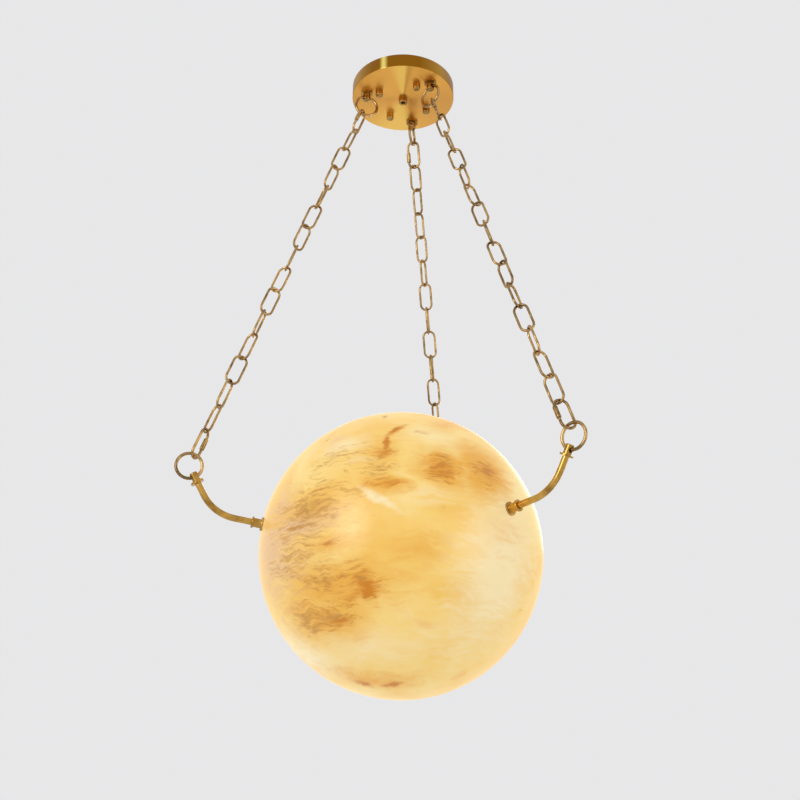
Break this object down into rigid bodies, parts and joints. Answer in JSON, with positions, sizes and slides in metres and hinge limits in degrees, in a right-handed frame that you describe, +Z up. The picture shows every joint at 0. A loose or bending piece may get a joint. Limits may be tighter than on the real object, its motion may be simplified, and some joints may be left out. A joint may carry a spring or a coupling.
{
  "type": "ceiling pendant",
  "caption": "Hollow lit marble ball hung from a round brass ceiling canopy by bent brass arms and link chains.",
  "frame": {"origin": "middle of the ceiling plane, on the upper face of the ceiling bracket", "axes": "+Z up out of the ceiling face, X along the line of the two screw slots, the lamp hangs towards -Z"},
  "size_m": [0.4762, 0.4745, 0.879],
  "materials": {
    "canopy_brass": "brushed",
    "chain_brass": "satin",
    "arm_brass": "brushed",
    "terminal_brass": "plain",
    "zinc_steel": "zinc plated",
    "marble": "polished",
    "porcelain": "gloss",
    "lamp_glass": "opal",
    "lamp_cap_metal": "plain",
    "terminal_plastic": "matte",
    "silicone": "matte"
  },
  "bodies": {
    "canopy": {"canopy_cup": "canopy_brass", "canopy_load_plate": "zinc_steel", "ceiling_bracket": "zinc_steel", "canopy_studs": "zinc_steel", "stud_lock_nuts": "zinc_steel", "cap_nuts": "canopy_brass", "centre_bush": "canopy_brass", "centre_bush_nut": "terminal_brass", "eye_bolt_left": "canopy_brass", "eye_bolt_right": "canopy_brass", "eye_bolt_back": "canopy_brass", "eye_bolt_washers": "zinc_steel", "eye_bolt_nuts": "zinc_steel", "terminal_block": "terminal_plastic", "terminal_screws": "terminal_brass", "earth_screw": "terminal_brass", "earth_nut": "terminal_brass"},
    "ball": {"marble_ball": "marble", "lid_seal": "silicone", "lamp_hub": "terminal_brass", "lamp_holder": "porcelain", "arm_spokes": "zinc_steel", "arm_gaskets": "silicone", "ball_wall_washers": "zinc_steel", "ball_wall_nuts": "zinc_steel", "arm_tube_left": "arm_brass", "arm_eye_left": "arm_brass", "arm_collar_left": "arm_brass", "arm_tube_right": "arm_brass", "arm_eye_right": "arm_brass", "arm_collar_right": "arm_brass", "arm_tube_back": "arm_brass", "arm_eye_back": "arm_brass", "arm_collar_back": "arm_brass"},
    "lid": {"marble_lid": "marble"},
    "lamp": {"lamp_cap": "lamp_cap_metal", "lamp_globe": "lamp_glass"},
    "lower_connector_left": {"lower_connector_left": "chain_brass", "lower_connector_sleeve_left": "chain_brass"},
    "chain_left": {"chain_left": "chain_brass"},
    "upper_ring_left": {"upper_ring_left": "chain_brass"},
    "upper_connector_left": {"upper_connector_left": "chain_brass", "upper_connector_sleeve_left": "chain_brass"},
    "lower_ring_left": {"lower_ring_left": "chain_brass"},
    "upper_ring_right": {"upper_ring_right": "chain_brass"},
    "upper_connector_right": {"upper_connector_right": "chain_brass", "upper_connector_sleeve_right": "chain_brass"},
    "lower_ring_right": {"lower_ring_right": "chain_brass"},
    "chain_right": {"chain_right": "chain_brass", "lower_connector_right": "chain_brass", "lower_connector_sleeve_right": "chain_brass"},
    "upper_ring_back": {"upper_ring_back": "chain_brass"},
    "upper_connector_back": {"upper_connector_back": "chain_brass", "upper_connector_sleeve_back": "chain_brass"},
    "lower_ring_back": {"lower_ring_back": "chain_brass"},
    "chain_back": {"chain_back": "chain_brass", "lower_connector_back": "chain_brass", "lower_connector_sleeve_back": "chain_brass"}
  },
  "joints": [
    {"name": "sway_sideways", "type": "hinge", "parent": "canopy", "child": "upper_ring_left", "pos_m": [-0.05351, -0.01474, -0.02825], "axis": [-0.9641, -0.2656, 0], "range_deg": [-5, 5]},
    {"name": "sway_in_line", "type": "hinge", "parent": "upper_ring_left", "child": "upper_connector_left", "pos_m": [-0.05351, -0.01474, -0.044], "axis": [0.2656, -0.9641, 0], "range_deg": [-5, 5]},
    {"name": "left_chain_lean", "type": "hinge", "parent": "upper_connector_left", "child": "chain_left", "pos_m": [-0.06997, -0.01927, -0.09025], "axis": [-0.9044, -0.2491, 0.3464], "range_deg": [-3.02, 3.02]},
    {"name": "turn_on_chains", "type": "hinge", "parent": "chain_left", "child": "lower_connector_left", "pos_m": [-0.25645, -0.07064, -0.614], "axis": [0.455, 0.1253, 0.8816], "range_deg": [-6, 6]},
    {"name": "left_lower_ring_slide", "type": "hinge", "parent": "lower_connector_left", "child": "lower_ring_left", "pos_m": [-0.25645, -0.07064, -0.614], "axis": [0.2656, -0.9641, 0], "range_deg": [-1.04, 1.04]},
    {"name": "ball_on_left_ring", "type": "hinge", "parent": "lower_ring_left", "child": "ball", "pos_m": [-0.24886, -0.06855, -0.62764], "axis": [-0.9641, -0.2656, 0], "range_deg": [-1.08, 1.08]},
    {"name": "right_upper_ring_swing", "type": "hinge", "parent": "canopy", "child": "upper_ring_right", "pos_m": [0.03952, -0.03897, -0.02825], "axis": [-0.9641, -0.2656, 0], "range_deg": [-5, 5]},
    {"name": "right_upper_connector_slide", "type": "hinge", "parent": "upper_ring_right", "child": "upper_connector_right", "pos_m": [0.03952, -0.03897, -0.044], "axis": [0.2656, -0.9641, 0], "range_deg": [-5, 5]},
    {"name": "right_chain_lean", "type": "hinge", "parent": "upper_connector_right", "child": "chain_right", "pos_m": [0.05168, -0.05096, -0.09025], "axis": [0.6679, -0.6587, 0.3464], "range_deg": [-3.02, 3.02]},
    {"name": "right_lower_ring_swing", "type": "hinge", "parent": "ball", "child": "lower_ring_right", "pos_m": [0.18379, -0.18124, -0.62764], "axis": [-0.6166, 0.6081, 0.5], "range_deg": [-1.37, 1.37]},
    {"name": "back_upper_ring_swing", "type": "hinge", "parent": "canopy", "child": "upper_ring_back", "pos_m": [0.01399, 0.05371, -0.02825], "axis": [-0.9641, -0.2656, 0], "range_deg": [-5, 5]},
    {"name": "back_upper_connector_slide", "type": "hinge", "parent": "upper_ring_back", "child": "upper_connector_back", "pos_m": [0.01399, 0.05371, -0.044], "axis": [0.2656, -0.9641, 0], "range_deg": [-5, 5]},
    {"name": "back_chain_lean", "type": "hinge", "parent": "upper_connector_back", "child": "chain_back", "pos_m": [0.01829, 0.07024, -0.09025], "axis": [0.2365, 0.9078, 0.3464], "range_deg": [-3.02, 3.02]},
    {"name": "back_lower_ring_swing", "type": "hinge", "parent": "ball", "child": "lower_ring_back", "pos_m": [0.06506, 0.24979, -0.62764], "axis": [-0.2183, -0.8381, 0.5], "range_deg": [-1.37, 1.37]},
    {"name": "lid_lift", "type": "slide", "parent": "ball", "child": "lid", "axis": [0, 0, 1], "range_m": [0, 0.08]},
    {"name": "lamp_out", "type": "slide", "parent": "ball", "child": "lamp", "axis": [0, 0, 1], "range_m": [0, 0.029]}
  ],
  "couplings": [
    {"joint": "left_chain_lean", "follows": "turn_on_chains", "ratio": 0.50307},
    {"joint": "left_lower_ring_slide", "follows": "sway_in_line", "ratio": -0.20865},
    {"joint": "ball_on_left_ring", "follows": "sway_sideways", "ratio": -0.21501},
    {"joint": "right_upper_ring_swing", "follows": "sway_sideways", "ratio": 1},
    {"joint": "right_upper_connector_slide", "follows": "sway_in_line", "ratio": 1},
    {"joint": "right_chain_lean", "follows": "turn_on_chains", "ratio": 0.50307},
    {"joint": "right_lower_ring_swing", "follows": "sway_in_line", "ratio": -0.274},
    {"joint": "back_upper_ring_swing", "follows": "sway_sideways", "ratio": 1},
    {"joint": "back_upper_connector_slide", "follows": "sway_in_line", "ratio": 1},
    {"joint": "back_chain_lean", "follows": "turn_on_chains", "ratio": 0.50307},
    {"joint": "back_lower_ring_swing", "follows": "sway_in_line", "ratio": 0.274}
  ]
}
